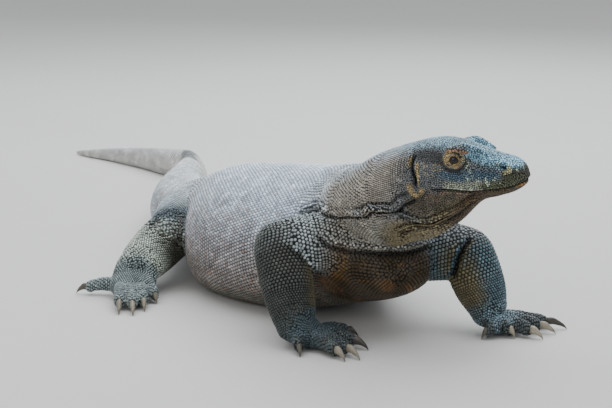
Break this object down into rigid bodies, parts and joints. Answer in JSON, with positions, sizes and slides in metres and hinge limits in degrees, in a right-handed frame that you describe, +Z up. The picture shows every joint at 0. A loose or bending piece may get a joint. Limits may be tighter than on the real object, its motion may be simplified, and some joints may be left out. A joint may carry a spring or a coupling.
{
  "type": "komodo dragon model",
  "caption": "Life-size still model of a large monitor lizard lying on its belly, chest propped on its forelegs, head raised and turned to its left, tail bent behind it.",
  "frame": {"origin": "on the floor, at the middle of the flat patch under the belly", "axes": "+X forward along the trunk, +Y to the animal's left, +Z up"},
  "size_m": [2.0603, 0.7141, 0.355],
  "materials": {
    "hide_trunk": "satin, beaded grey-brown scales",
    "hide_neck": "satin, beaded brown-grey scales",
    "hide_tail": "satin, keeled pale brown scales",
    "hide_leg": "satin, coarse blue-grey scales",
    "hide_head": "satin, small dark blue-grey scales",
    "hide_jaw": "satin, fine yellow-brown scales",
    "claw": "satin horn",
    "eye": "wet gloss"
  },
  "bodies": {
    "root": {"head": "hide_head", "lower_jaw": "hide_jaw", "neck": "hide_neck", "pelvis": "hide_trunk", "belly": "hide_trunk", "chest": "hide_trunk", "tail_end": "hide_tail", "tail_middle": "hide_tail", "tail_root": "hide_tail", "eye_left": "eye", "eye_right": "eye", "right_fore_upper": "hide_leg", "right_fore_lower": "hide_leg", "right_fore_foot": "hide_leg", "right_fore_claw_1": "claw", "right_fore_claw_2": "claw", "right_fore_claw_3": "claw", "right_fore_claw_4": "claw", "right_fore_claw_5": "claw", "left_fore_upper": "hide_leg", "left_fore_lower": "hide_leg", "left_fore_foot": "hide_leg", "left_fore_claw_1": "claw", "left_fore_claw_2": "claw", "left_fore_claw_3": "claw", "left_fore_claw_4": "claw", "left_fore_claw_5": "claw", "right_hind_upper": "hide_leg", "right_hind_lower": "hide_leg", "right_hind_foot": "hide_leg", "right_hind_claw_1": "claw", "right_hind_claw_2": "claw", "right_hind_claw_3": "claw", "right_hind_claw_4": "claw", "right_hind_claw_5": "claw", "left_hind_upper": "hide_leg", "left_hind_lower": "hide_leg", "left_hind_foot": "hide_leg", "left_hind_claw_1": "claw", "left_hind_claw_2": "claw", "left_hind_claw_3": "claw", "left_hind_claw_4": "claw", "left_hind_claw_5": "claw"}
  },
  "joints": []
}
